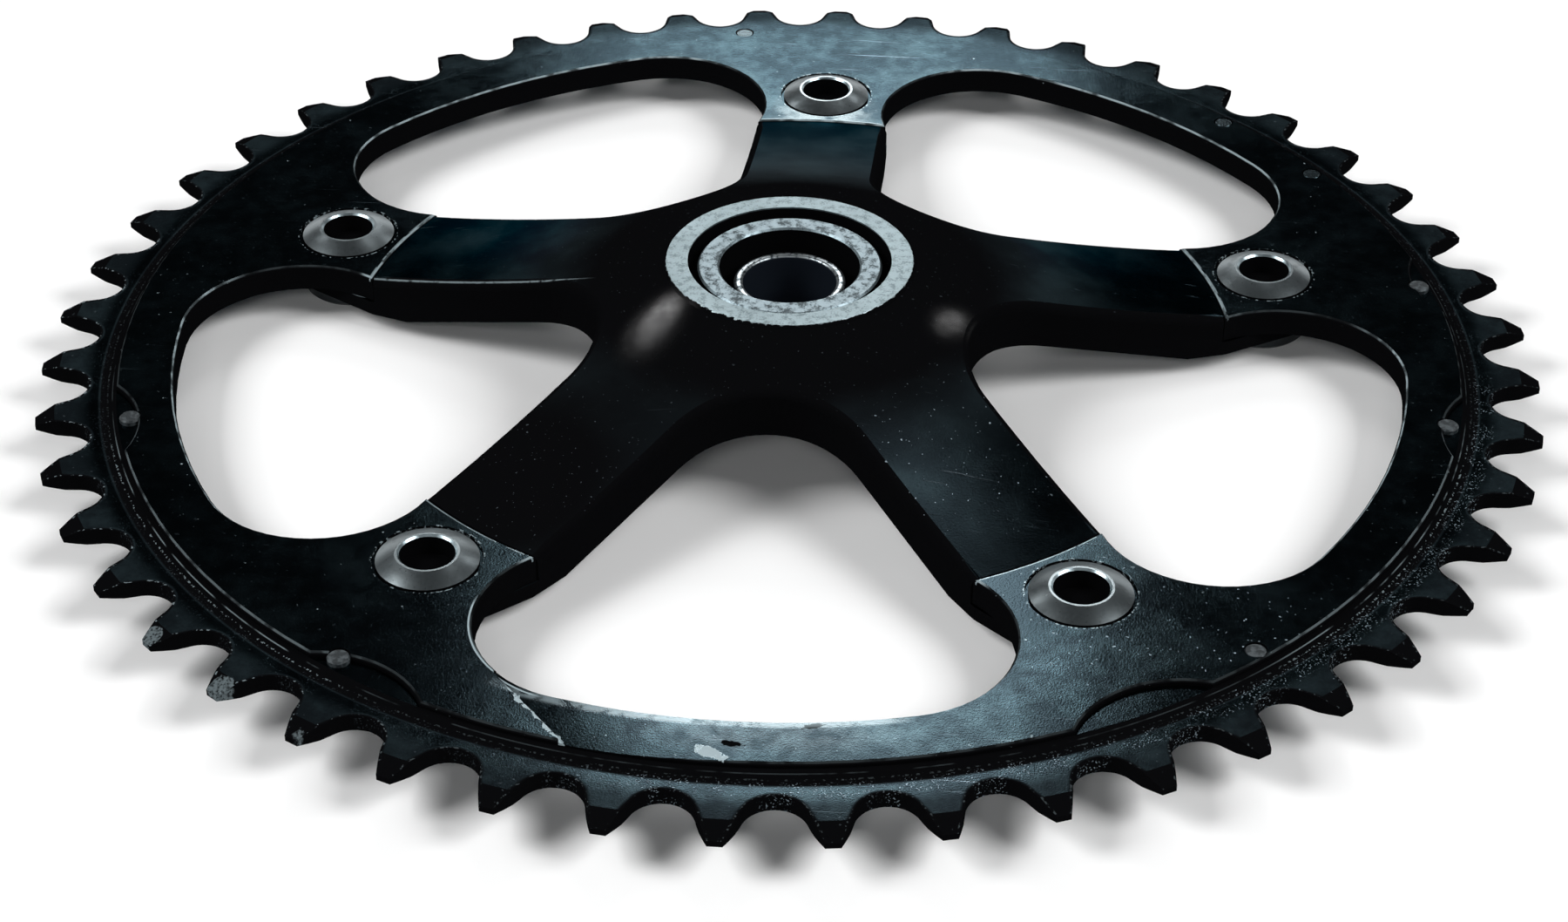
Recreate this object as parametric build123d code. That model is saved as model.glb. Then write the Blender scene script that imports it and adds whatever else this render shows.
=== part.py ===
"""Bicycle chainring on a five-arm spider.

A toothed ring with five inward tabs lies on the seats of a dished spider, held by five sleeve nuts and bolts.
The spindle axis is +Z, the first arm points along +Y, and the part rests on its five bolt heads at z = 0.
All sizes are in millimetres and degrees.
"""
from build123d import *
from math import acos, atan2, cos, degrees, hypot, pi, radians, sin, sqrt
import os

# Arms and bolt pattern
arm_count = 5
first_arm_angle = 90.0
bolt_circle_diameter = 135.0

# Chain and teeth
tooth_count = 48
chain_pitch = 12.7
roller_diameter = 7.75
roller_seat_clearance = 0.05
roller_seat_half_angle = 66.0
tooth_addendum = 3.0
tooth_tip_width = 1.8
tooth_flank_bulge = 0.1
tooth_thickness = 2.2
tip_bevel_length = 2.6
tip_bevel_top = 1.0
tip_bevel_bottom = 0.4

# Chainring body, from the tooth roots inwards
ring_thickness = 3.7
band_width = 2.5
step_run = 1.2
step_foot_radius = 0.5
plateau_width = 7.5
window_corner_radius = 15.0
tab_waist_width = 18.0
tab_end_distance = 8.2
top_edge_chamfer = 0.35

# Shift pins, the pockets scooped from the plateau's edge (angle, reach) and the skewed ramp
pin_angles = (13.2, 34.6, 47.0, 99.3, 198.0, 237.8, 313.3, 350.7)
pin_diameter = 2.8
pin_edge_distance = 1.7
pin_hole_clearance = 0.02
pin_below_plateau = 0.1
pin_edge_chamfer = 0.2
pockets = ((13.2, 2.2), (198.0, 2.6), (241.1, 3.1), (302.0, 4.1), (350.7, 2.2))
pocket_cutter_radius = 14.0
pocket_depth = 0.8
ramp_edge_angles = (249.4, 259.0)
ramp_run = 15.0
ramp_depth = 0.5

# Sleeve nuts and bolts
nut_head_diameter = 12.8
nut_crown_diameter = 8.0
nut_head_rise = 1.05
nut_dome_radius = 16.0
nut_seat_depth = 0.4
nut_seat_gap = 0.45
nut_sleeve_diameter = 10.0
nut_sleeve_clearance = 0.05
nut_sleeve_end_gap = 0.5
nut_bore_diameter = 6.9
nut_mouth_chamfer = 0.25
bolt_head_diameter = 13.0
bolt_head_height = 2.2
bolt_head_chamfer = 0.5
bolt_thread_clearance = 0.05
bolt_thread_length = 4.4
bolt_socket_width = 5.0
bolt_socket_depth = 2.6

# Spider arms
pad_thickness = 2.4
pad_end_radius = 7.6
arm_width = 19.5
arm_corner_radius = 14.0
arm_edge_radius = 1.2
arm_under_chamfer = 0.45
arm_ridge_radius = 235.0
shoulder_gap = 0.15
shoulder_drop = 0.15
pad_length = 20.6

# Hub, bush and sleeve
hub_rise = 11.7
hub_height = 12.7
hub_face_radius = 16.4
hub_edge_chamfer = 0.4
hub_web_radius = 20.0
hub_web_drop = 9.1
hub_boss_radius = 16.0
groove_width = 1.3
groove_depth = 2.4
bush_radius = 12.25
bush_wall = 2.9
bush_length = 6.2
bush_below_hub = 0.85
bush_edge_chamfer = 0.25
bush_fit_gap = 0.02
sleeve_bore_radius = 6.2
sleeve_wall = 1.3
sleeve_below_hub = 3.3
sleeve_lip_radius = 0.5
sleeve_fit_gap = 0.02

# Levels, from the bolt heads upwards
pad_bottom = bolt_head_height
ring_bottom = pad_bottom + pad_thickness
tooth_top = ring_bottom + tooth_thickness
plateau_top = ring_bottom + ring_thickness
shelf_top = plateau_top - pocket_depth
hub_top = plateau_top + hub_rise
hub_bottom = hub_top - hub_height
bush_top = hub_top - bush_below_hub
bush_bottom = bush_top - bush_length
sleeve_top = hub_top - sleeve_below_hub

# Radii that follow from the sizes above
bolt_radius = bolt_circle_diameter / 2
pitch_radius = chain_pitch / (2 * sin(pi / tooth_count))
seat_radius = roller_diameter / 2 + roller_seat_clearance
tip_radius = pitch_radius + tooth_addendum
step_foot = pitch_radius - seat_radius - band_width
plateau_radius = step_foot - step_run
window_radius = plateau_radius - plateau_width
tab_end_radius = bolt_radius - tab_end_distance
shoulder_radius = tab_end_radius - shoulder_gap
pin_circle_radius = plateau_radius - pin_edge_distance
nut_hole_radius = nut_sleeve_diameter / 2 + nut_sleeve_clearance
sleeve_radius = sleeve_bore_radius + sleeve_wall
arm_angles = [first_arm_angle + 360 / arm_count * k for k in range(arm_count)]


def polar(radius, angle):
    """Point at a radius and an angle in degrees."""
    return Vector(radius * cos(radians(angle)), radius * sin(radians(angle)))


def drum(radius, bottom, top):
    """Upright cylinder on the spindle axis between two levels."""
    return Pos(0, 0, (bottom + top) / 2) * Cylinder(radius, top - bottom)


def turned(*lines):
    """Solid turned about the spindle axis from a closed outline of (radius, height) lines."""
    return revolve(Plane.YZ * make_face(list(lines)), Axis.Z)


def at_bolts(piece):
    """Copies of a piece at every place on the bolt circle."""
    return [Pos(polar(bolt_radius, angle)) * piece for angle in arm_angles]


def at_pins(piece):
    """Copies of a piece at every shift pin."""
    return [Pos(polar(pin_circle_radius, angle)) * piece for angle in pin_angles]


def tooth_lines(index):
    """Roller seat and the tooth that follows it, anticlockwise: seat arc, flank, tip and flank."""
    step = 360 / tooth_count
    seat_angle = first_arm_angle + (index + 0.5) * step
    half_tip = degrees(tooth_tip_width / 2 / tip_radius)

    def seat_point(angle, swing):
        return polar(pitch_radius, angle) + polar(seat_radius, angle + 180 - swing)

    def flank(a, b):
        along = (b - a).normalized()
        return ThreePointArc(a, (a + b) / 2 + Vector(along.Y, -along.X) * tooth_flank_bulge, b)

    seat_start = seat_point(seat_angle, -roller_seat_half_angle)
    seat_end = seat_point(seat_angle, roller_seat_half_angle)
    tip_start = polar(tip_radius, seat_angle + step / 2 - half_tip)
    tip_end = polar(tip_radius, seat_angle + step / 2 + half_tip)
    next_seat = seat_point(seat_angle + step, -roller_seat_half_angle)
    return [
        ThreePointArc(seat_start, seat_point(seat_angle, 0), seat_end),
        flank(seat_end, tip_start),
        Line(tip_start, tip_end),
        flank(tip_end, next_seat),
    ]


def tab_lines(angle):
    """End of one tab and the window after it, anticlockwise: end arc, corner, window arc and corner."""
    step = 360 / arm_count
    corner_side = tab_waist_width / 2 + window_corner_radius
    corner_reach = window_radius - window_corner_radius
    corner_along = sqrt(corner_reach**2 - corner_side**2)
    corner_angle = degrees(atan2(corner_side, corner_along))
    side_squares = tab_end_radius**2 + corner_reach**2 - window_corner_radius**2
    end_angle = corner_angle - degrees(acos(side_squares / (2 * tab_end_radius * corner_reach)))

    def corner(tab, side):
        centre = polar(corner_reach, tab + side * corner_angle)
        tab_end = polar(tab_end_radius, tab + side * end_angle)
        window_end = polar(window_radius, tab + side * corner_angle)
        to_middle = ((tab_end + window_end) / 2 - centre).normalized()
        return ThreePointArc(tab_end, centre + to_middle * window_corner_radius, window_end)

    return [
        ThreePointArc(*[polar(tab_end_radius, angle + side * end_angle) for side in (-1, 0, 1)]),
        corner(angle, 1),
        ThreePointArc(
            polar(window_radius, angle + corner_angle),
            polar(window_radius, angle + step / 2),
            polar(window_radius, angle + step - corner_angle),
        ),
        corner(angle + step, -1),
    ]


def plateau_outline():
    """Plan of the raised plateau: a disc with the shift pockets scooped from its edge."""
    outline = Circle(plateau_radius)
    for angle, reach in pockets:
        cutter_distance = plateau_radius - reach + pocket_cutter_radius
        outline -= Pos(polar(cutter_distance, angle)) * Circle(pocket_cutter_radius)
    return outline


def ramp_cutter():
    """Wedge that cuts the shift ramp: deepest along a skewed edge, from which its floor runs out to the plateau."""
    inner_end = polar(window_radius - step_run, ramp_edge_angles[0])
    along = (polar(step_foot, ramp_edge_angles[1]) - inner_end).normalized()
    across = Vector(-along.Y, along.X)
    section = make_face(Polyline(
        (0, -ramp_depth),
        (2 * ramp_run, ramp_depth),
        (0, ramp_depth),
        close=True,
    ))
    edge = Plane(inner_end + Vector(0, 0, plateau_top), x_dir=across, z_dir=along)
    return extrude(edge * section, 3 * ramp_run)


def make_chainring():
    """Toothed plate turned to a sloping step, under a plateau with pockets, a ramp, nut seats and holes."""
    teeth = make_face([line for k in range(tooth_count) for line in tooth_lines(k)])
    opening = make_face([line for angle in arm_angles for line in tab_lines(angle)])
    section = make_face(Polyline(
        (0, ring_bottom),
        (tip_radius - tip_bevel_length, ring_bottom),
        (tip_radius, ring_bottom + tip_bevel_bottom),
        (tip_radius, tooth_top - tip_bevel_top),
        (tip_radius - tip_bevel_length, tooth_top),
        (step_foot, tooth_top),
        (plateau_radius, shelf_top),
        (0, shelf_top),
        close=True,
    ))
    foot = section.vertices().sort_by_distance((step_foot, tooth_top))[0]
    section = fillet(foot, step_foot_radius)
    plate = Pos(0, 0, ring_bottom) * extrude(teeth - opening, shelf_top - ring_bottom)
    plateau = Pos(0, 0, shelf_top) * extrude(plateau_outline() - opening, pocket_depth)
    ring = (plate & revolve(Plane.YZ * section, Axis.Z)) + plateau
    ring = chamfer(ring.edges().group_by(Axis.Z)[-1], top_edge_chamfer)

    ring -= ramp_cutter()
    seat = Pos(0, 0, plateau_top) * Cylinder(nut_head_diameter / 2 + nut_seat_gap, 2 * nut_seat_depth)
    ring -= at_bolts(seat + drum(nut_hole_radius, 0, plateau_top))
    pin_hole = drum(pin_diameter / 2 + pin_hole_clearance, 0, hub_top)
    return ring - at_pins(pin_hole)


def arm_outline():
    """Plan of one arm along +X: parallel sides, then tangents to a round end about the bolt."""
    bolt = Vector(bolt_radius, 0)
    corner = Vector(shoulder_radius, arm_width / 2)
    to_corner = corner - bolt
    tangent_angle = degrees(atan2(to_corner.Y, to_corner.X) - acos(pad_end_radius / to_corner.length))
    tangent = bolt + polar(pad_end_radius, tangent_angle)
    blade = make_face(Polyline(
        (0, -arm_width / 2),
        (corner.X, -corner.Y),
        (tangent.X, -tangent.Y),
        tangent,
        corner,
        (0, arm_width / 2),
        close=True,
    ))
    return blade + Pos(bolt) * Circle(pad_end_radius)


def make_spider():
    """Five-arm star cut to a dished section, with a shoulder and seat on each arm and a stepped hub bore."""
    arm = arm_outline()
    star = Sketch() + [Rot(0, 0, angle) * arm for angle in arm_angles]
    inner_corners = star.vertices().group_by(lambda v: round(hypot(v.X, v.Y), 3))[0]
    star = fillet(inner_corners, arm_corner_radius)
    prism = Pos(0, 0, pad_bottom) * extrude(star, hub_top - pad_bottom)

    web_bottom = hub_top - hub_web_drop
    pad_end = bolt_radius + 2 * pad_end_radius
    pad_start = bolt_radius + pad_end_radius - pad_length
    ridge = RadiusArc(
        (hub_face_radius + hub_edge_chamfer, hub_top - hub_edge_chamfer),
        (shoulder_radius, plateau_top - shoulder_drop),
        -arm_ridge_radius,
    )
    dish = turned(
        Polyline((0, hub_bottom), (0, hub_top), (hub_face_radius, hub_top), ridge @ 0),
        ridge,
        Polyline(
            ridge @ 1,
            (shoulder_radius, ring_bottom),
            (pad_end, ring_bottom),
            (pad_end, pad_bottom),
            (pad_start, pad_bottom),
            (hub_web_radius, web_bottom),
            (hub_boss_radius, web_bottom),
            (hub_boss_radius, hub_bottom),
            (0, hub_bottom),
        ),
    )
    body = prism & dish
    ridge_face = body.faces().sort_by(SortBy.AREA)[-1]
    body = fillet(ridge_face.edges().filter_by(GeomType.BSPLINE), arm_edge_radius)
    slope_edges = body.faces().filter_by(GeomType.CONE).sort_by(SortBy.AREA)[-1].edges()
    under_edges = body.edges().group_by(Axis.Z)[0] - slope_edges
    under_edges += slope_edges.filter_by(GeomType.BSPLINE) + slope_edges.filter_by(GeomType.HYPERBOLA)
    body = chamfer(under_edges, arm_under_chamfer)
    body -= drum(bush_radius + groove_width, hub_top - groove_depth, hub_top)
    body -= drum(bush_radius + bush_fit_gap, bush_bottom, hub_top)
    body -= drum(sleeve_radius + sleeve_fit_gap, hub_bottom, hub_top)
    return body - at_bolts(drum(nut_hole_radius, pad_bottom, ring_bottom))


def make_nut():
    """Sleeve nut: a domed open head in its seat on the tab, and a sleeve through tab and arm."""
    head = nut_head_diameter / 2
    sleeve = nut_sleeve_diameter / 2
    bore = nut_bore_diameter / 2
    seat = plateau_top - nut_seat_depth
    crown = plateau_top + nut_head_rise
    sleeve_end = pad_bottom + nut_sleeve_end_gap
    dome = RadiusArc((head, plateau_top), (nut_crown_diameter / 2, crown), -nut_dome_radius)
    return turned(
        Polyline((bore, sleeve_end), (sleeve, sleeve_end), (sleeve, seat), (head, seat), dome @ 0),
        dome,
        Polyline(
            dome @ 1,
            (bore + nut_mouth_chamfer, crown),
            (bore, crown - nut_mouth_chamfer),
            (bore, sleeve_end),
        ),
    )


def make_bolt():
    """Bolt screwed into the nut from below: a flat chamfered head with a hexagon socket."""
    head = drum(bolt_head_diameter / 2, 0, bolt_head_height)
    head = chamfer(head.edges().group_by(Axis.Z)[0], bolt_head_chamfer)
    shank = drum(nut_bore_diameter / 2 - bolt_thread_clearance, 0, bolt_head_height + bolt_thread_length)
    socket = extrude(RegularPolygon(bolt_socket_width / 2, 6, major_radius=False), bolt_socket_depth)
    return head + shank - socket


def make_pin():
    """Shift pin standing in its hole, with a broken top edge."""
    pin = drum(pin_diameter / 2, ring_bottom, plateau_top - pin_below_plateau)
    return chamfer(pin.edges().group_by(Axis.Z)[-1], pin_edge_chamfer)


def make_bush():
    """Ring pressed into the hub inside the groove, its two top edges chamfered."""
    bush = drum(bush_radius, bush_bottom, bush_top) - drum(bush_radius - bush_wall, bush_bottom, bush_top)
    return chamfer(bush.edges().group_by(Axis.Z)[-1], bush_edge_chamfer)


def make_sleeve():
    """Tube standing in the hub's lower bore, with a rounded rim."""
    tube = drum(sleeve_radius, hub_bottom, sleeve_top) - drum(sleeve_bore_radius, hub_bottom, sleeve_top)
    return fillet(tube.edges().group_by(Axis.Z)[-1], sleeve_lip_radius)


def group(pieces):
    """One shape that holds each piece as a separate solid."""
    return Compound([piece.solid() for piece in pieces])


nodes = {
    "spider": make_spider(),
    "chainring": make_chainring(),
    "chainring_nuts": group(at_bolts(make_nut())),
    "chainring_bolts": group(at_bolts(make_bolt())),
    "shift_pins": group(at_pins(make_pin())),
    "hub_bush": make_bush(),
    "spindle_sleeve": make_sleeve(),
}

os.makedirs("parts", exist_ok=True)
for name, shape in nodes.items():
    export_step(shape, f"parts/{name}.step")
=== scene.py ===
"""Bicycle chainring bolted on a dished five-arm spider, lying on its bolt heads on a pale floor."""
from math import asin, atan2, cos, degrees, hypot, pi, radians, sin, sqrt

import bpy
import numpy as np
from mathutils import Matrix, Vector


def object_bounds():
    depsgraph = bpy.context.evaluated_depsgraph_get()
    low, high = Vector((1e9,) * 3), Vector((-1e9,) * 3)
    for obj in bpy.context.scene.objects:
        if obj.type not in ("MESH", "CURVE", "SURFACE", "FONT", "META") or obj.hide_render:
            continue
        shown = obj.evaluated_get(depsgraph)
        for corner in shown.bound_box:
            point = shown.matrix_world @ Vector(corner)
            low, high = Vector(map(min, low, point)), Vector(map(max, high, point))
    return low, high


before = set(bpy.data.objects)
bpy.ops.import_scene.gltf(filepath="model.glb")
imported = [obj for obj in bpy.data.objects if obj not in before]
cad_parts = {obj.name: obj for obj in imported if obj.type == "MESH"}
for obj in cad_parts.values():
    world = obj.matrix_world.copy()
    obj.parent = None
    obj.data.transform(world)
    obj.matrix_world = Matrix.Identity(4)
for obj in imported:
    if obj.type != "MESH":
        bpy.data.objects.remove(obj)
cad_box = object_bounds()


# Spider: the dished five-arm carrier, forged from aluminium, machined on its seats and anodised black.
# Its hub face was turned bare afterwards. Handling has rubbed one arm's edge down to the metal, and dust
# lies on the front arms. Its sides, steep slopes, the hub's groove and one front arm are painted black as
# shade, and two gloss patches beside the hub are shaped as painted highlights.
mm_per_metre = 1000.0


class Reading:
    """A number, colour or vector that varies over a surface: one socket, whose sums add Math nodes."""

    def __init__(self, finish, socket):
        self.finish = finish
        self.socket = socket

    def out(self, name):
        """Another output of the same node, by identifier or name."""
        outputs = self.socket.node.outputs
        found = [socket for socket in outputs if name in (socket.identifier, socket.name)]
        return Reading(self.finish, found[0])

    def __add__(self, other):
        return self.finish.math("ADD", self, other)

    def __sub__(self, other):
        return self.finish.math("SUBTRACT", self, other)

    def __rsub__(self, other):
        return self.finish.math("SUBTRACT", other, self)

    def __mul__(self, other):
        return self.finish.math("MULTIPLY", self, other)

    def __pow__(self, other):
        return self.finish.math("POWER", self, other)

    def __mod__(self, other):
        return self.finish.math("FLOORED_MODULO", self, other)

    def __abs__(self):
        return self.finish.math("ABSOLUTE", self)

    __radd__ = __add__
    __rmul__ = __mul__

    def most(self, other):
        """The larger of two values."""
        return self.finish.math("MAXIMUM", self, other)

    def rise(self, low, high):
        """0 up to low and 1 from high on, with a smooth step between."""
        limits = {"Value": self, "From Min": low, "From Max": high}
        return self.finish.node("ShaderNodeMapRange", {"interpolation_type": "SMOOTHSTEP"}, limits)

    def band(self, low, high, soft):
        """1 between low and high, falling to 0 over a soft margin on both sides."""
        return self.rise(low - soft, low) * (1 - self.rise(high, high + soft))


def reach(along, across):
    """Distance of a point, from its distances along two lines at right angles."""
    return (along * along + across * across) ** 0.5


class Finish:
    """The node tree of one material, with readings of where a point is, in millimetres, and how it faces."""

    def __init__(self, name):
        self.material = bpy.data.materials.new(name)
        self.material.use_nodes = True
        self.tree = self.material.node_tree
        self.shader = self.tree.nodes["Principled BSDF"]
        coordinates = self.node("ShaderNodeTexCoord", {}, {}).out("Object")
        sockets = {0: coordinates, "Scale": mm_per_metre}
        self.place = self.node("ShaderNodeVectorMath", {"operation": "SCALE"}, sockets)
        parts = self.node("ShaderNodeSeparateXYZ", {}, {0: self.place})
        self.x, self.y, self.z = [parts.out(axis) for axis in "XYZ"]
        self.radius = reach(self.x, self.y)
        self.angle = self.math("ARCTAN2", self.y, self.x) * degrees(1.0) % 360.0
        self.facing = self.node("ShaderNodeNewGeometry", {}, {}).out("Normal")
        self.up = self.node("ShaderNodeSeparateXYZ", {}, {0: self.facing}).out("Z")

    def node(self, kind, settings, sockets):
        """Add a node: its settings first, then a value or a link on each named or numbered socket."""
        node = self.tree.nodes.new(kind)
        for name, value in settings.items():
            setattr(node, name, value)
        for key, value in sockets.items():
            named = [socket for socket in node.inputs if socket.identifier == key]
            socket = named[0] if named else node.inputs[key]
            self.give(socket, value)
        return Reading(self, node.outputs[0])

    def give(self, socket, value):
        """Link a reading to a socket, or set a plain value on it, with a colour made opaque."""
        if isinstance(value, Reading):
            self.tree.links.new(value.socket, socket)
        elif socket.type == "RGBA" and len(value) == 3:
            socket.default_value = (*value, 1.0)
        else:
            socket.default_value = value

    def math(self, operation, *values):
        """A Math node on readings and plain numbers."""
        return self.node("ShaderNodeMath", {"operation": operation}, dict(enumerate(values)))

    def mix(self, share, low, high):
        """Colour that goes from low to high as the share goes from 0 to 1."""
        sockets = {"Factor_Float": share, "A_Color": low, "B_Color": high}
        return self.node("ShaderNodeMix", {"data_type": "RGBA"}, sockets).out("Result_Color")

    def noise(self, scale, detail=2.0, place=None):
        """Cloudy noise from 0 to 1, with so many clouds to the millimetre."""
        sockets = {"Vector": place or self.place, "Scale": scale, "Detail": detail}
        return self.node("ShaderNodeTexNoise", {}, sockets)

    def grit(self, scale, share):
        """Fine ragged grains: the crests of a small noise, more of them as the share grows."""
        crest = 0.5 + 0.3 * (1 - share)
        return self.noise(scale, 1.0).rise(crest, crest + 0.04)

    def scratches(self, turn, share):
        """Fine scratches in patches: the crests of a noise drawn out along x, other ones for each turn."""
        sockets = {"Vector": self.place, "Rotation": (0.0, 0.0, radians(turn)), "Scale": (0.05, 2.4, 1.0)}
        crests = self.noise(1.0, 1.0, self.node("ShaderNodeMapping", {}, sockets))
        patches = self.noise(0.06, 1.0)
        return crests.rise(1 - share, 1.06 - share) * patches.rise(0.45, 0.62)

    def stains(self):
        """Stains on bare metal: large and small clouds of noise together."""
        return (0.6 * self.noise(0.9, 5.0) + 0.4 * self.noise(3.5)).rise(0.46, 0.62)

    def along(self, x, y, angle):
        """Distance from a point of the plan, measured in the direction of an angle."""
        return (self.x - x) * cos(radians(angle)) + (self.y - y) * sin(radians(angle))

    def spot(self, x, y, size, turn=0.0, slim=1.0):
        """1 at a point of the plan, falling to 0 at a distance that is shorter across a turned axis."""
        distance = reach(self.along(x, y, turn), self.along(x, y, turn + 90) * slim)
        return 1 - distance.rise(0.3 * size, size)

    def highlight_patch(self, patch, core):
        """Gloss shaped as a painted highlight, soft over a patch and brightest in a core, both as spots."""
        return self.spot(*patch) ** 5.0 * (0.22 + 0.78 * self.spot(*core))

    def bump(self, height, depth, normals=None):
        """Normals of a relief so many millimetres deep, on the surface's own normals or on those given."""
        sockets = {"Height": height, "Distance": depth / mm_per_metre, "Strength": 1.0}
        sockets["Normal"] = normals or self.facing
        return self.node("ShaderNodeBump", {}, sockets)

    def fill(self, **sockets):
        """Set or link the shader's sockets, written with low lines for spaces."""
        for name, value in sockets.items():
            self.give(self.shader.inputs[name.replace("_", " ")], value)

    def dress(self, node_name, **sockets):
        """Set the shader's sockets and put the finish on a node of the frame."""
        self.fill(**sockets)
        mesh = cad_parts[node_name].data
        mesh.materials.clear()
        mesh.materials.append(self.material)


# Black of the dye, and the black painted as shade on walls, bores and hollows
black_dye_and_shade = (0.0026, 0.0027, 0.0031)
black_sheen = (0.016, 0.024, 0.029)
black_sheen_worn = (0.036, 0.057, 0.066)
dust_grey = (0.34, 0.42, 0.48)
bare_metal = (0.34, 0.42, 0.45)
hub_metal = (0.22, 0.27, 0.285)
metal_stain = (0.03, 0.04, 0.045)
arm_glancing_tint = (0.39, 0.405, 0.415)
gloss_tint = (0.85, 0.97, 1.0)
gloss_index = 2.2
gloss_roughness = 0.25
cloud_scale = 0.1
grain_scale = 5.0
grain_depth = 0.012

arm_count = 5
first_arm_angle = 90.0
rubbed_arm_angle = first_arm_angle + 360 / arm_count
rubbed_line = (9.05, 9.2)
rubbed_length = (30.0, 60.0)
hub_top = mm_per_metre * float(cad_box[1][2])
hub_face_radius = 16.4
hub_shoulder_radius = 17.0

# Spots on the spider's plan: the middle and the size, then the turn and the slimness of a long one
chipped_front = (-7.0, -15.0, 9.0)
shaded_arm = (-33.0, -39.0, 36.0)
dusty_right_arm = (24.0, -33.0, 18.0)
dusty_left_arm = (-27.0, -38.0, 22.0)
left_highlight = (-16.2, -14.6, 12.5, 72.0, 1.7)
left_highlight_core = (-15.7, -13.4, 6.6, 72.0, 2.1)
right_highlight = (21.8, -9.6, 8.0, 64.0, 1.5)
right_highlight_core = (21.6, -9.6, 4.0, 64.0, 1.8)

spider = Finish("spider_anodised")
clouds = spider.noise(cloud_scale, 4.0)
grain = spider.noise(grain_scale)

chip_depth = 0.4 + 1.1 * spider.spot(*chipped_front)
ragged_radius = spider.radius + chip_depth * (spider.noise(1.4, 4.0) - 0.42)
hub_face = spider.z.rise(hub_top - 0.25, hub_top - 0.1)
hub_face = hub_face * (1 - ragged_radius.rise(hub_face_radius, hub_face_radius + 0.1))
turned = spider.mix(spider.stains() * 0.5, hub_metal, metal_stain)

# Painted shade: only flat tops outside the hub's groove and the shaded arm keep the reflecting dye, and all
# other faces take the unreflecting black.
flat_top = abs(spider.up).rise(0.95, 0.975)
flat_top = flat_top * spider.radius.rise(hub_shoulder_radius, hub_shoulder_radius + 0.4)
flat_top = flat_top * (1 - spider.spot(*shaded_arm))
dusty = (0.9 * spider.spot(*dusty_right_arm)).most(0.12 * spider.spot(*dusty_left_arm)).most(0.05)
dust = spider.grit(1.6, 0.14).most(spider.grit(2.8, 0.16)) * dusty * spider.up.rise(0.8, 0.9)
scuffs = spider.scratches(20, 0.27).most(spider.scratches(115, 0.25))
along_arm = spider.along(0.0, 0.0, rubbed_arm_angle)
front_side = spider.along(0.0, 0.0, rubbed_arm_angle + 90)
rubbed = front_side.band(*rubbed_line, 0.1) * along_arm.band(*rubbed_length, 6.0)
rubbed = rubbed * spider.noise(0.9, 4.0).rise(0.3, 0.5) * spider.up.rise(0.5, 0.7)
# Painted highlights: two gloss patches beside the hub, shaped so that the lamps shine back in them
highlight_gloss = spider.highlight_patch(left_highlight, left_highlight_core) + 0.5 * spider.highlight_patch(right_highlight, right_highlight_core)
highlight_gloss = highlight_gloss * (0.7 + 0.3 * spider.noise(0.8, 5.0).rise(0.3, 0.7)) * spider.up.rise(0.3, 0.5)

dye = spider.mix(clouds.rise(0.35, 0.75), black_sheen, black_sheen_worn)
dye = spider.mix(flat_top, black_dye_and_shade, dye)
dye = spider.mix(scuffs * flat_top * 0.2, dye, dust_grey)
dye = spider.mix(dust, dye, dust_grey)
dye = spider.mix(rubbed * 0.4, dye, bare_metal)
spider.dress(
    "spider",
    Base_Color=spider.mix(hub_face, dye, turned),
    Metallic=hub_face.most(flat_top * (1 - dust) * (1 - rubbed)),
    Roughness=0.05 + 0.13 * clouds + 0.05 * grain + hub_face * 0.29,
    Normal=spider.bump(grain - scuffs * 0.6 + dust, grain_depth),
    Coat_Weight=highlight_gloss * (1 - hub_face) * (1 - scuffs),
    Coat_Roughness=gloss_roughness,
    Coat_IOR=gloss_index,
    Coat_Tint=gloss_tint,
    Specular_IOR_Level=0.0,
    Specular_Tint=arm_glancing_tint,
)


# Hub bush: a bare aluminium ring, turned on a lathe and pressed into the hub inside the groove.
# Its flat top is finely stained, and its walls are painted black as the shade of the groove and the bore.
def lathe_marks(finish, distance, scale):
    """Marks of a lathe: noise that changes along one distance alone, so many times to the millimetre."""
    return finish.noise(1.0, 2.0, finish.node("ShaderNodeCombineXYZ", {}, {0: distance * scale}))


bush_metal = (0.165, 0.21, 0.23)
lathe_mark_depth = 0.01

bush = Finish("bush_turned")
bush_marks = lathe_marks(bush, bush.radius, 7.0)
bush_stains = bush.stains()
bush_face = bush.up.rise(0.4, 0.6)
bush_bare = bush.mix(bush_stains * 0.75, bush_metal, metal_stain)
bush.dress(
    "hub_bush",
    Base_Color=bush.mix(bush_face, black_dye_and_shade, bush_bare),
    Metallic=bush_face,
    Roughness=0.36 + 0.1 * bush_marks + bush_stains * 0.15,
    Normal=bush.bump(bush_marks, lathe_mark_depth),
    Specular_IOR_Level=0.0,
)


# Spindle sleeve: the steel tube that stands in the hub's lower bore, turned on a lathe.
# Its rounded rim is bare steel, and below it the sleeve is painted near-black as the shade of the bore.
sleeve_steel = (0.34, 0.38, 0.4)
sleeve_bore_shade = (0.008, 0.011, 0.016)
sleeve_below_hub = 3.3
sleeve_top = hub_top - sleeve_below_hub

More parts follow.
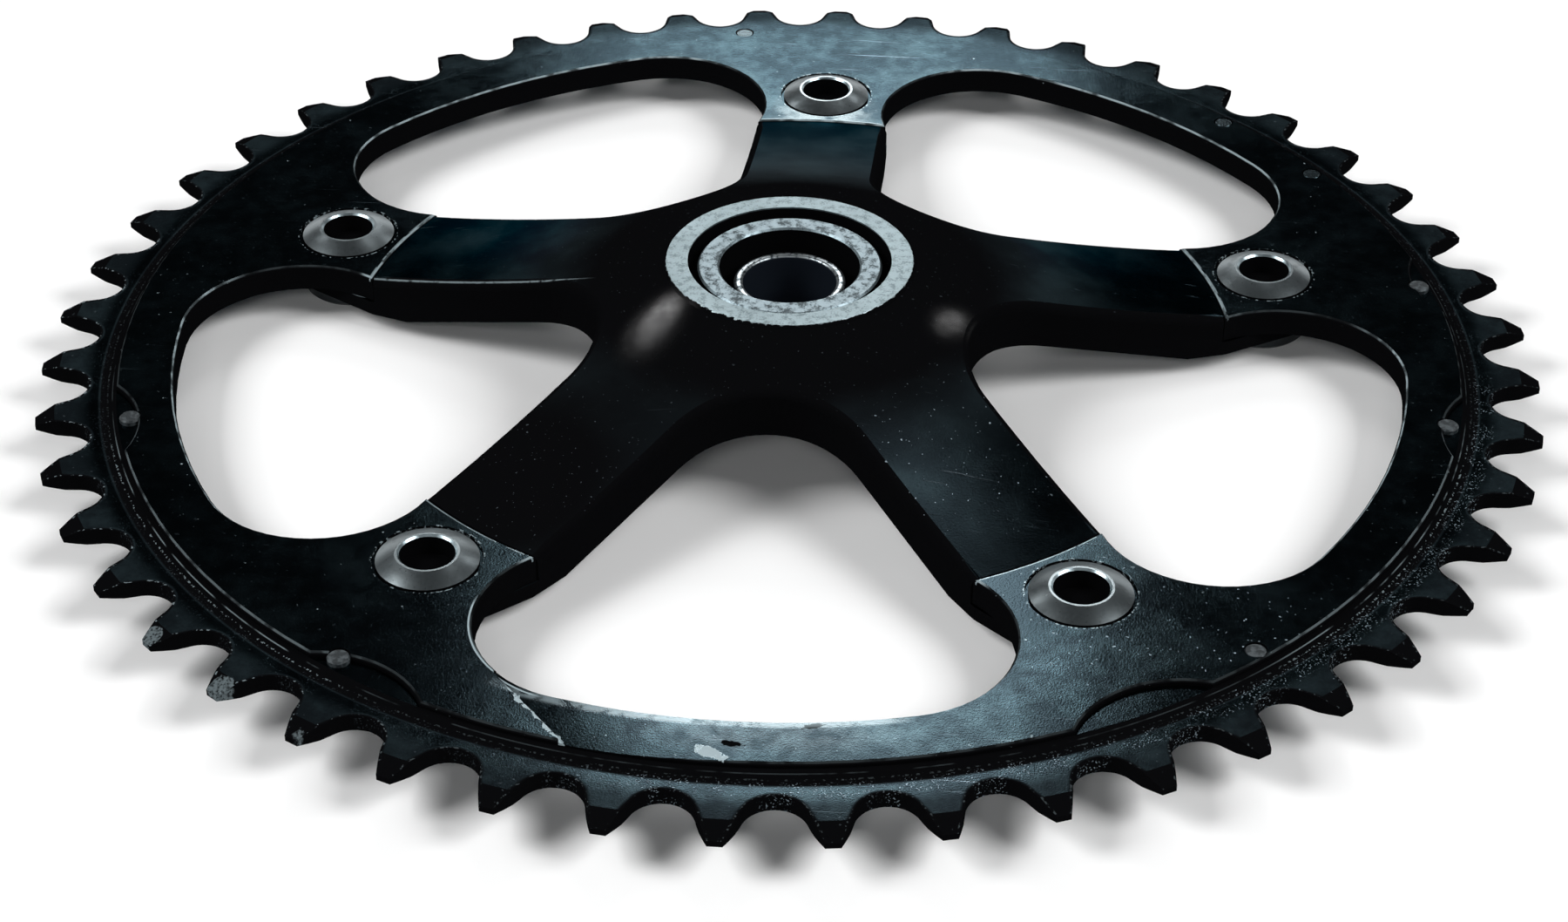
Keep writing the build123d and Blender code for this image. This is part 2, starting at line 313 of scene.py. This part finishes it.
sleeve = Finish("sleeve_turned")
sleeve_rim = sleeve.z.rise(sleeve_top - 0.3, sleeve_top - 0.1)
sleeve_marks = lathe_marks(sleeve, sleeve.z, 5.0)
sleeve_bare = sleeve.mix(sleeve.noise(1.5, 4.0).rise(0.45, 0.65), sleeve_steel, metal_stain)
sleeve.dress(
    "spindle_sleeve",
    Base_Color=sleeve.mix(sleeve_rim, sleeve_bore_shade, sleeve_bare),
    Metallic=sleeve_rim,
    Roughness=0.28 + 0.12 * sleeve_marks,
    Normal=sleeve.bump(sleeve_marks, lathe_mark_depth),
    Specular_IOR_Level=0.0,
)


# Chainring: a toothed aluminium plate, turned to a raised plateau, pocketed for shifting and anodised black.
# Bolts and sleeve nuts hold its tabs on the spider. Chain and handling have worn the dye off its edges, and
# grit lies outside the step and between the teeth. Its sides, hollows and tooth tips are painted black as
# shade, two spots of its dye are darkened as painted shade, and light lines on the step and two lighter
# patches of dye are painted highlights.
def polar(radius, angle):
    """Point of the plan at a radius and an angle in degrees."""
    return radius * cos(radians(angle)), radius * sin(radians(angle))


def sector(finish, count, first):
    """Distances along and across the middle line of the nearest of so many equal sectors."""
    step = 360 / count
    swing = radians(1.0) * ((finish.angle - (first - step / 2)) % step - step / 2)
    return finish.radius * finish.math("COSINE", swing), finish.radius * finish.math("SINE", swing)


def lean(finish, share, angle):
    """Normals leaned by a share of their length towards an angle of the plan."""
    aside = dict(enumerate(polar(share, angle)))
    sockets = {0: finish.facing, 1: finish.node("ShaderNodeCombineXYZ", {}, aside)}
    leaned = finish.node("ShaderNodeVectorMath", {"operation": "ADD"}, sockets)
    return finish.node("ShaderNodeVectorMath", {"operation": "NORMALIZE"}, {0: leaned})


painted_sheen_dye = (0.11, 0.13, 0.135)
ring_glancing_tint = (0.56, 0.61, 0.64)
chain_pitch = 12.7
tooth_count = 48
tooth_addendum = 3.0
tooth_tip_width = 1.8
seat_radius = 3.925
seat_half_angle = radians(66.0)
band_width = 2.5
step_run = 1.2
step_line_inset = 0.68
plateau_width = 7.5
plateau_top = 8.3
shelf_top = 7.5
edge_chamfer = 0.35
bolt_radius = 67.5
nut_seat_radius = 6.85
tab_waist_width = 18.0
tab_end_radius = 59.3
corner_radius = 15.0
worn_window_radii = (76.0, 81.0)
worn_tab_radii = (60.0, 62.0)
tooth_tip_shade_radii = (92.5, 96.0)
ramp_edge_angles = (249.4, 259.0)
ramp_run = 15.0
ramp_lean = 0.046
ramp_back = (-70.0, -66.0)

pitch_radius = chain_pitch / (2 * sin(pi / tooth_count))
tip_radius = pitch_radius + tooth_addendum
step_foot_radius = pitch_radius - seat_radius - band_width
step_line_radius = step_foot_radius - step_line_inset
window_radius = step_foot_radius - step_run - plateau_width
tab_rim_radius = tab_end_radius + edge_chamfer
corner_across = tab_waist_width / 2 + corner_radius
corner_along = sqrt((window_radius - corner_radius) ** 2 - corner_across ** 2)
ramp_inner_end = polar(window_radius - step_run, ramp_edge_angles[0])
ramp_outer_end = polar(step_foot_radius, ramp_edge_angles[1])
ramp_edge = [outer - inner for inner, outer in zip(ramp_inner_end, ramp_outer_end)]
ramp_slope_angle = degrees(atan2(ramp_edge[1], ramp_edge[0])) + 90

# Arcs of the ring: the first and the last angle and the soft margin, in degrees
front_left_arc = (204.0, 236.0, 6.0)
front_right_arc = (318.0, 346.0, 6.0)
worn_tooth_arc = (170.0, 235.0, 15.0)
strip_arc = (253.0, 281.0, 4.0)
gritty_arc = (268.0, 352.0, 14.0)

# Spots on the ring's plan, as on the spider's
large_chips = ((-70.2, -69.8, 1.9), (-59.9, -78.8, 2.2))
small_chip = (-49.2, -86.4, 1.3)
worn_corner = (-27.0, -70.5, 13.0)
worn_ramp_edge = (-21.8, -83.6, 8.6)
nicked_edge = (-1.6, -88.0, 3.2, -25.0, 2.6)
pitted_places = ((0.6, -86.3, 2.3, -10.0, 2.6), (9.5, -82.4, 2.2, 20.0, 3.5))
dusty_places = ((42.0, -58.0, 16.0), (60.0, -62.0, 14.0))
shaded_tab = (30.0, -56.0, 14.0)
shaded_front = (-36.0, -74.0, 16.0)
painted_sheen_tab = (0.0, 62.0, 9.0)
painted_sheen_front = (4.0, -83.0, 22.0, 0.0, 3.6)

ring = Finish("ring_anodised")
ring_clouds = ring.noise(cloud_scale, 4.0)
smears = ring.noise(0.45, 4.0)
ring_grain = ring.noise(grain_scale)
on_plateau = ring.z.rise(shelf_top + 0.1, shelf_top + 0.2)
front_left = ring.angle.band(*front_left_arc)
front_right = ring.angle.band(*front_right_arc)

# Distance from the edge of the nearest gullet: from its round roller seat, and further out from its flank
seat_end = (-seat_radius * cos(seat_half_angle), seat_radius * sin(seat_half_angle))
tip_swing = pi / tooth_count - asin(tooth_tip_width / (2 * tip_radius))
tip_corner = (tip_radius * cos(tip_swing) - pitch_radius, tip_radius * sin(tip_swing))
flank_length = hypot(tip_corner[0] - seat_end[0], tip_corner[1] - seat_end[1])
flank_along = (tip_corner[0] - seat_end[0]) / flank_length
flank_across = (tip_corner[1] - seat_end[1]) / flank_length
along_seat, across_seat = sector(ring, tooth_count, first_arm_angle + 180 / tooth_count)
along_seat = along_seat - pitch_radius
from_roller = reach(along_seat, across_seat) - seat_radius
from_flank = (abs(across_seat) - seat_end[1]) * flank_along - (along_seat - seat_end[0]) * flank_across
on_flank = along_seat.rise(seat_end[0] - 0.1, seat_end[0] + 0.1)
from_gullet = from_roller * (1 - on_flank) + from_flank * on_flank

# Bare metal on the edges: chamfers, gullets, the window's corner, the nut seats and the tab ends
patchy = 0.15 + 0.85 * ring.noise(0.35, 6.0).rise(0.38, 0.56)
chamfer = ring.up.band(0.6, 0.8, 0.04) * ring.z.rise(plateau_top - 0.25, plateau_top - 0.17) * patchy
rim_share = ring.radius.rise(*worn_window_radii).most(1 - ring.radius.rise(*worn_tab_radii))
rim_share = 0.08 + 0.92 * rim_share
edge_share = 0.08 + 0.24 * front_left.most(front_right)
outside = ring.radius.rise(window_radius + 1.5, window_radius + 2.5)
chamfer_worn = chamfer * (rim_share * (1 - outside) + edge_share * outside)
gullet_worn = from_gullet.band(0.05, 0.2, 0.08) * ring.up.rise(0.8, 0.9) * ring.grit(2.0, 0.7)
gullet_worn = gullet_worn * (0.25 + 0.75 * ring.angle.band(*worn_tooth_arc))
along_tab, across_tab = sector(ring, arm_count, first_arm_angle)
from_corner = reach(along_tab - corner_along, abs(across_tab) - corner_across) - corner_radius
rim_worn = from_corner.band(edge_chamfer + 0.02, edge_chamfer + 0.2, 0.06)
rim_worn = rim_worn * ring.spot(*worn_corner).rise(0.1, 0.4) * on_plateau
from_nut = reach(along_tab - bolt_radius, across_tab) - nut_seat_radius
seat_worn = from_nut.band(0.0, 0.16, 0.06) * ring.grit(2.0, 0.75)
# Painted highlights: light lines on the step, at its foot and in the middle of its slope
foot_highlight = ring.radius.band(step_foot_radius - 0.1, step_foot_radius + 0.06, 0.06) * ring.grit(3.0, 0.75)
middle_highlight = ring.radius.band(step_line_radius - 0.04, step_line_radius + 0.04, 0.05)
middle_highlight = middle_highlight * ring.noise(0.2, 3.0).rise(0.45, 0.6)
step_highlights = foot_highlight.most(middle_highlight) * (0.15 + 0.85 * front_left.most(front_right)) * (1 - on_plateau)
tab_end_worn = ring.radius.band(tab_rim_radius - 0.03, tab_rim_radius + 0.13, 0.05)
tab_end_worn = tab_end_worn * ring.noise(0.5, 5.0).rise(0.36, 0.5) * on_plateau

# Bare metal in places: chipped tooth tips, the ramp's edge, a nick beside it and a strip along the window
chips = ring.spot(*large_chips[0]).most(ring.spot(*large_chips[1])).most(0.5 * ring.spot(*small_chip))
chips = (chips + 0.9 * (ring.noise(1.2, 4.0) - 0.5)).rise(0.35, 0.5) * ring.noise(2.5, 3.0).rise(0.3, 0.6)
past_ramp_edge = ring.along(*ramp_inner_end, ramp_slope_angle)
ragged_ramp = past_ramp_edge - 2.2 * (ring.noise(0.6, 5.0) - 0.45)
ramp_worn = ragged_ramp.band(-0.4, 0.05, 0.1) * ring.spot(*worn_ramp_edge).rise(0.1, 0.3) * on_plateau
ramp_worn = ramp_worn * ring.noise(1.1, 4.0).rise(0.3, 0.45)
nick = ring.spot(*nicked_edge) + 2.2 * (ring.noise(1.3, 5.0) - 0.52)
nick = nick.rise(0.4, 0.6) * on_plateau
strip = ring.radius.band(window_radius + 0.23, window_radius + 0.73, 0.8) * ring.angle.band(*strip_arc)
strip_worn = strip * on_plateau * ring.noise(0.5, 4.0).rise(0.3, 0.55)
worn_and_highlights = (chamfer_worn * 0.8).most(gullet_worn * 0.4).most(seat_worn * 0.6).most(step_highlights * 0.4)
worn_and_highlights = worn_and_highlights.most(chips * 0.3).most(strip_worn * 0.55).most(rim_worn * 0.9).most(tab_end_worn * 0.6)
worn_and_highlights = worn_and_highlights.most(ramp_worn).most(nick)

# The ramp's floor, whose normals lean further the further it lies from the worn edge
in_ramp = past_ramp_edge.band(0.0, ramp_run, 0.1) * (1 - ring.y.rise(*ramp_back)) * on_plateau
scooped = lean(ring, past_ramp_edge * in_ramp * (ramp_lean / ramp_run), ramp_slope_angle)

# Grime and painted shade at the step's foot, painted shade on the teeth, small pits, loose grit, dust and
# scratches
foot_grime_and_shade = ring.radius.band(step_foot_radius, step_foot_radius + 0.8, 0.5) * (1 - on_plateau)
tooth_tip_shade = 0.55 * ring.radius.rise(*tooth_tip_shade_radii)
pits = ring.spot(*pitted_places[0]).most(ring.spot(*pitted_places[1]))
pits = (pits + 2.0 * (ring.noise(1.3, 4.0) - 0.55)).rise(0.35, 0.7) * on_plateau
# Painted shade: walls, slopes and bevels, the step's foot, the tooth tips and the gullets' rims take the
# unreflecting black; the pits are real.
reflecting_share = abs(ring.up).rise(0.94, 0.98) * (1 - foot_grime_and_shade) * (1 - tooth_tip_shade)
reflecting_share = reflecting_share * from_gullet.rise(0.1, 0.6) * (1 - pits)
grit_band = ring.radius.band(step_foot_radius + 0.73, step_foot_radius + 2.73, 0.5)
grit_band = grit_band * (0.15 + 0.85 * ring.angle.band(*gritty_arc))
loose_grit = ring.grit(4.0, 0.6) * grit_band * ring.noise(0.5, 3.0).rise(0.4, 0.6)
dusty_tab = 0.1 + 0.9 * ring.spot(*dusty_places[0]).most(ring.spot(*dusty_places[1]))
ring_dust = ring.grit(1.6, 0.24) * dusty_tab * ring.up.rise(0.9, 0.95)
specks = (loose_grit * 0.6).most(ring_dust)
ring_scuffs = ring.scratches(70, 0.27).most(ring.scratches(155, 0.26))

sheen_share_and_shade = (0.5 * ring_clouds + 0.35 * smears + 0.15 * ring.noise(2.2, 3.0)).rise(0.4, 0.64)
# Painted shade: the worn dye is darkened on the front right tab and on the plateau at the front left
sheen_share_and_shade = sheen_share_and_shade * (1 - 0.9 * ring.spot(*shaded_tab)) * (1 - 0.8 * ring.spot(*shaded_front))
# Painted highlight: a lighter dye on the back tab and the front plateau brightens their sheen
painted_sheen = ring.spot(*painted_sheen_tab).most(0.15 * ring.spot(*painted_sheen_front)) * smears.rise(0.3, 0.6)
ring_dye = ring.mix(sheen_share_and_shade, black_sheen, black_sheen_worn)
ring_dye = ring.mix(painted_sheen, ring_dye, painted_sheen_dye)
ring_dye = ring.mix(reflecting_share, black_dye_and_shade, ring_dye)
ring_dye = ring.mix(ring_scuffs * reflecting_share * 0.2, ring_dye, dust_grey)
ring_dye = ring.mix(specks * 0.8, ring_dye, dust_grey)
ring_dye = ring.mix(worn_and_highlights, ring_dye, bare_metal)
ring.dress(
    "chainring",
    Base_Color=ring_dye,
    Metallic=0.985 * reflecting_share * (1 - specks.most(worn_and_highlights)),
    Roughness=0.01 + 0.1 * ring_clouds + 0.06 * smears + 0.05 * ring_grain,
    Normal=ring.bump(ring_grain - ring_scuffs * 0.6 + specks * 2.0 - chips * 4.0, grain_depth, scooped),
    Specular_IOR_Level=0.0,
    Specular_Tint=ring_glancing_tint,
)


# Shift pins: small steel pins pressed into the ring near the plateau's edge, some of them in its pockets.
# Their tops are dull and grey in front, and those at the back are as dark as the ring.
pin_grey = (0.02, 0.025, 0.028)
pin_worn = (0.06, 0.072, 0.078)
pin_relief = 0.03
dark_pins_front = (30.0, 45.0)

pins = Finish("pin_dull_steel")
pin_bare = pins.mix(pins.noise(1.4, 4.0).rise(0.42, 0.62), pin_grey, pin_worn)
dark_pins = pins.y.rise(*dark_pins_front)
pins.dress(
    "shift_pins",
    Base_Color=pins.mix(dark_pins, pin_bare, black_sheen_worn),
    Metallic=0.2 + 0.75 * dark_pins,
    Specular_IOR_Level=0.2,
    Roughness=0.42 + 0.15 * pins.noise(4.0) - 0.3 * dark_pins,
    Normal=pins.bump(pins.noise(3.0, 3.0), pin_relief),
)


# Sleeve nuts: turned steel, satin on their low domed heads, which stand in seats on the tabs.
# Their open bores are painted black as shade, a lighter rim round each is a painted highlight,
# and the bolts hold them from below.
nut_steel = (0.26, 0.3, 0.315)
nut_mouth_radius = 3.45
satin_relief = 0.006

nuts = Finish("nut_satin_steel")
along_nut, across_nut = sector(nuts, arm_count, first_arm_angle)
from_axis = reach(along_nut - bolt_radius, across_nut)
nut_dome = nuts.up.rise(0.3, 0.5)
nut_rim_highlight = 1 - from_axis.rise(nut_mouth_radius + 0.15, nut_mouth_radius + 0.35)
nut_stains = nuts.noise(0.5, 4.0).rise(0.5, 0.7) * 0.4
nut_bare = nuts.mix(nut_stains, nut_steel, metal_stain)
nut_bare = nuts.mix(nut_rim_highlight, nut_bare, bare_metal)
nuts.dress(
    "chainring_nuts",
    Base_Color=nuts.mix(nut_dome, black_dye_and_shade, nut_bare),
    Metallic=nut_dome,
    Roughness=0.25 + 0.08 * nuts.noise(3.0, 3.0) + 0.1 * nut_stains,
    Normal=nuts.bump(nuts.noise(6.0), satin_relief),
    Specular_IOR_Level=0.0,
)


# Bolts: the steel screws that pull the sleeve nuts down from below.
# The part rests on their flat satin heads, and their shanks inside the nuts are painted black as shade.
bolt_grey = (0.05, 0.056, 0.06)
shaded_shank_height = 4.0

bolts = Finish("bolt_satin_steel")
bolt_unshaded = 1 - bolts.z.rise(shaded_shank_height, shaded_shank_height + 0.2)
bolt_bare = bolts.mix(bolts.noise(1.2, 4.0).rise(0.5, 0.75) * 0.6, bolt_grey, metal_stain)
bolts.dress(
    "chainring_bolts",
    Base_Color=bolts.mix(bolt_unshaded, black_dye_and_shade, bolt_bare),
    Metallic=bolt_unshaded,
    Roughness=0.34 + 0.12 * bolts.noise(3.0, 3.0),
    Normal=bolts.bump(bolts.noise(6.0), satin_relief),
    Specular_IOR_Level=0.0,
)


# Floor: a sweep of pale matt paper that lies flat under the part and turns up far away.
# Far from the part it is seen as plain white, so that no edge of it shows.
def turned_sheet(name, radii, heights, turns):
    """Surface of revolution: the profile of radii and heights carried round the vertical axis."""
    swing = np.linspace(0.0, 2 * pi, turns, endpoint=False)[:, None]
    points = np.stack(
        [radii * np.cos(swing), radii * np.sin(swing), heights + 0 * swing],
        axis=-1,
    ).reshape(-1, 3)
    here = np.arange(turns)[:, None] * len(radii) + np.arange(len(radii) - 1)
    ahead = np.roll(here, -1, axis=0)
    quads = np.stack([here, here + 1, ahead + 1, ahead], axis=-1).reshape(-1, 4)
    mesh = bpy.data.meshes.new(name)
    mesh.from_pydata(points.tolist(), [], quads.tolist())
    mesh.polygons.foreach_set("use_smooth", np.ones(len(quads), bool))
    piece = bpy.data.objects.new(name, mesh)
    bpy.context.scene.collection.objects.link(piece)
    return piece


paper_white = (0.92, 0.92, 0.92)
pure_white = (1.0, 1.0, 1.0)
far_start = 350.0
far_end = 900.0
floor_gap = 0.00005
floor_turns = 96
flat_radii = np.array([0.0001, 0.5, 1.2])
sweep_radius = 6.0
bend_radius = 1.8
bend = np.linspace(0.0, pi / 2, 24)
bend_radii = sweep_radius - bend_radius + bend_radius * np.sin(bend)
bend_heights = bend_radius * (1 - np.cos(bend))
floor_radii = np.concatenate([flat_radii, bend_radii])
floor_heights = np.concatenate([0 * flat_radii, bend_heights]) - floor_gap
floor = turned_sheet("floor_sweep", floor_radii, floor_heights, floor_turns)

paper = Finish("floor_paper")
paper.fill(Base_Color=paper_white, Roughness=0.9, Specular_IOR_Level=0.0)
rays = paper.node("ShaderNodeLightPath", {}, {})
seen = rays.out("Is Camera Ray").most(rays.out("Is Glossy Ray")).most(rays.out("Is Transmission Ray"))
far_white = paper.node("ShaderNodeEmission", {}, {"Color": pure_white, "Strength": 1.0})
matt_paper = Reading(paper, paper.shader.outputs[0])
far_share = seen * paper.radius.rise(far_start, far_end)
whole_floor = paper.node("ShaderNodeMixShader", {}, {0: far_share, 1: matt_paper, 2: far_white})
paper.give(paper.tree.nodes["Material Output"].inputs["Surface"], whole_floor)
floor.data.materials.append(paper.material)


# Light: two soft lamps, left and right, which the flat faces do not mirror towards the camera.
# Small dim panels stand where the flats and some slopes do mirror them, so that a sheen lies there.
def soft_lamp(name, place, width, depth, watts):
    """Rectangular lamp at a place, turned towards the middle of the part."""
    data = bpy.data.lights.new(name, "AREA")
    data.shape = "RECTANGLE"
    data.size = width
    data.size_y = depth
    data.energy = watts
    lamp = bpy.data.objects.new(name, data)
    lamp.location = place
    x, y, z = place
    lamp.rotation_euler = (pi / 2 - atan2(z, hypot(x, y)), 0.0, atan2(-y, -x) - pi / 2)
    bpy.context.scene.collection.objects.link(lamp)


side_watts = 13.4
side_width = 0.6
sky_colour = (0.9, 0.95, 1.0, 1.0)
sky_strength = 0.03

soft_lamp("left_lamp", (-1.0, -0.2, 0.95), side_width, side_width, side_watts)
soft_lamp("right_lamp", (1.0, -0.2, 0.95), side_width, side_width, side_watts)
soft_lamp("sheen_panel", (-0.054, 0.821, 0.568), 0.205, 0.32, 1.9)
soft_lamp("front_panel", (0.0, -1.1, 0.75), 0.5, 0.3, 3.0)
soft_lamp("back_left_panel", (-0.5, 0.535, 0.682), 0.1, 0.1, 0.2)
soft_lamp("back_right_panel", (0.346, 0.706, 0.618), 0.1, 0.1, 0.15)
soft_lamp("high_right_panel", (0.158, 0.458, 0.875), 0.14, 0.14, 0.11)
world = bpy.data.worlds.new("studio")
world.use_nodes = True
sky = world.node_tree.nodes["Background"]
sky.inputs["Color"].default_value = sky_colour
sky.inputs["Strength"].default_value = sky_strength
bpy.context.scene.world = world


# Camera: a short telephoto lens at the photograph's place, looking down across the ring at about 35 degrees.
# It stands a little to the right of the middle, and all of the part is in focus.
camera_place = (0.02958, -0.36737, 0.2435)
camera_turns = (55.203, -0.139, 4.805)

camera_data = bpy.data.cameras.new("camera")
camera_data.sensor_width = 36.0
camera_data.lens = 74.49
camera = bpy.data.objects.new("camera", camera_data)
camera.location = camera_place
camera.rotation_euler = [radians(turn) for turn in camera_turns]
bpy.context.scene.collection.objects.link(camera)
bpy.context.scene.camera = camera
bpy.context.scene.view_settings.view_transform = "Standard"
